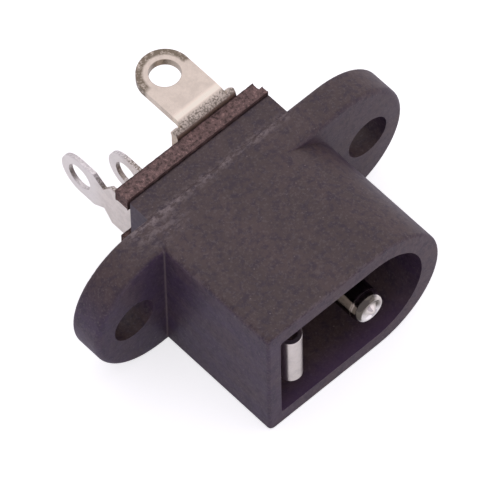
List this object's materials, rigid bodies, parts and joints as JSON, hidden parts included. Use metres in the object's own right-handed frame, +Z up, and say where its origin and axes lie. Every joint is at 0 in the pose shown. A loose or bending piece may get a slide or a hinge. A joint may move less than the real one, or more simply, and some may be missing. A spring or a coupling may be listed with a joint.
{
  "type": "dc barrel jack",
  "caption": "Panel-mount DC power socket: D-shaped nose with a centre pin, screw flange, and solder lugs behind a phenolic plate.",
  "frame": {"origin": "on the contact pin's axis, at the flange's front face", "axes": "-Y out of the socket's mouth, +Z up, -X towards the nose's flat end; the ears lie along X"},
  "size_m": [0.0225, 0.0188, 0.0098],
  "materials": {
    "housing": "satin moulded black, lightly scuffed",
    "rear_plate": "brown paper phenolic with rough sheared edges",
    "centre_pin": "nickel plated, turned",
    "pin_terminal": "tin plated sheet",
    "sleeve_spring": "tin plated spring sheet",
    "switch_contact": "tin plated spring sheet"
  },
  "bodies": {
    "root": {"housing": "housing", "rear_plate": "rear_plate", "centre_pin": "centre_pin", "pin_terminal": "pin_terminal", "sleeve_spring": "sleeve_spring", "switch_contact": "switch_contact"}
  },
  "joints": []
}
